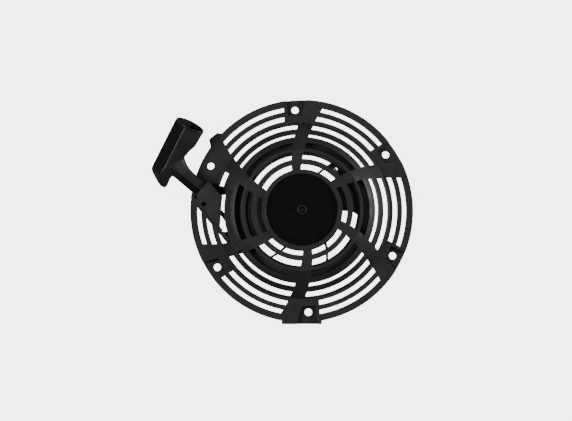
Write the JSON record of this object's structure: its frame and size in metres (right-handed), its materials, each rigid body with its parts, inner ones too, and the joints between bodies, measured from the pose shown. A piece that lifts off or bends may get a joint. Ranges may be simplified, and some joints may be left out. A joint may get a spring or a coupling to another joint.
{
  "type": "recoil starter",
  "caption": "Round slotted recoil starter housing with swept spokes, a rope pulley, swinging pawls and a T-shaped pull handle on its rope.",
  "frame": {"origin": "centre of the bolt circle on the mounting face", "axes": "+Z along the pulley's axis, away from the engine"},
  "size_m": [0.2263, 0.1945, 0.0377],
  "materials": {
    "housing_plastic": "moulded, fine grain, glossier centre disc",
    "pulley_plastic": "moulded glass-filled nylon",
    "handle_plastic": "moulded, satin",
    "plated_steel": "zinc plated",
    "spring_steel": "blued, oiled",
    "spring_wire": "drawn wire",
    "pawl_metal": "sintered steel",
    "rope_sheath": "braided sheath",
    "rope_core": "fused core end"
  },
  "bodies": {
    "housing": {"housing": "housing_plastic", "rope_eyelet": "plated_steel", "spring_cup": "plated_steel", "mainspring": "spring_steel", "thrust_washer": "plated_steel", "rope_lead": "rope_sheath", "brake_spring": "spring_wire", "brake_washer": "plated_steel", "centre_screw": "plated_steel"},
    "pulley": {"pulley": "pulley_plastic", "pawl_pin_a": "plated_steel", "pawl_pin_b": "plated_steel", "pawl_spring_a": "spring_wire", "pawl_spring_b": "spring_wire", "rope_coil": "rope_sheath", "rope_pulley_knot": "rope_core"},
    "pawl_a": {"pawl_a": "pawl_metal"},
    "pawl_b": {"pawl_b": "pawl_metal"},
    "retainer": {"pawl_retainer": "plated_steel"},
    "handle": {"handle_grip": "handle_plastic", "handle_washer": "plated_steel", "rope_handle_knot": "rope_core", "rope_pull": "rope_sheath"}
  },
  "joints": [
    {"name": "pulley_spin", "type": "hinge", "parent": "housing", "child": "pulley", "pos_m": [0, 0, 0.018], "axis": [0, 0, -1], "range_deg": [0, 1170], "stiffness_Nm_per_rad": 0.02, "springref_deg": -859.44, "deforming": ["mainspring"]},
    {"name": "handle_pull", "type": "slide", "parent": "housing", "child": "handle", "axis": [-0.749, 0.6626, 0], "range_m": [0, 1.1047], "deforming": ["rope_pull"]},
    {"name": "retainer_turn", "type": "hinge", "parent": "pulley", "child": "retainer", "pos_m": [0, 0, 0.0091], "axis": [0, 0, 1], "range_deg": [0, 25], "stiffness_Nm_per_rad": 0.004, "springref_deg": -11.46},
    {"name": "pawl_a_swing", "type": "hinge", "parent": "pulley", "child": "pawl_a", "pos_m": [0.02674, 0.00376, 0.0139], "axis": [0, 0, 1], "range_deg": [0, 25]},
    {"name": "pawl_b_swing", "type": "hinge", "parent": "pulley", "child": "pawl_b", "pos_m": [-0.02674, -0.00376, 0.0139], "axis": [0, 0, 1], "range_deg": [0, 25]}
  ],
  "couplings": [
    {"joint": "handle_pull", "follows": "pulley_spin", "m_per_rad": 0.054},
    {"joint": "pawl_a_swing", "follows": "retainer_turn", "ratio": 1},
    {"joint": "pawl_b_swing", "follows": "retainer_turn", "ratio": 1}
  ]
}
